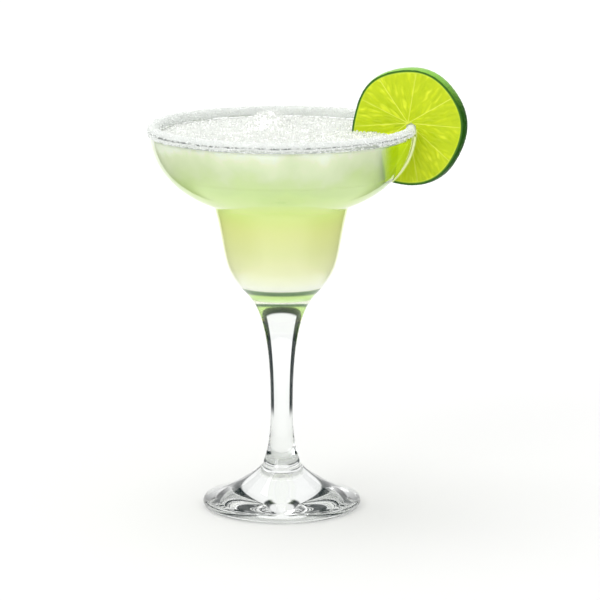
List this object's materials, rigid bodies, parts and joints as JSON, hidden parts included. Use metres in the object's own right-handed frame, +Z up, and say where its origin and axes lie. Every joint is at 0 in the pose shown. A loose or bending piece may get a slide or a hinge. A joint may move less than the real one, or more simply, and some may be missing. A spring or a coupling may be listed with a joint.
{
  "type": "margarita cocktail",
  "caption": "Margarita in a stemmed coupe glass with a small cup under the bowl, salted lip, crushed ice and a slit lime wheel hung on the lip.",
  "frame": {"origin": "centre of the glass's foot, on the plane it stands on", "axes": "+Z up along the stem, +X from the middle of the glass to the lime wheel on the lip, +Y to the back"},
  "size_m": [0.1371, 0.1154, 0.1918],
  "materials": {
    "glass": "clear, polished",
    "drink": "cloudy liquid",
    "ice": "wet, crushed",
    "salt": "coarse crystals",
    "lime": "moist fruit flesh in waxy rind"
  },
  "bodies": {
    "root": {"glass": "glass", "drink": "drink", "crushed_ice": "ice", "salt_rim": "salt", "lime_wheel": "lime"}
  },
  "joints": []
}
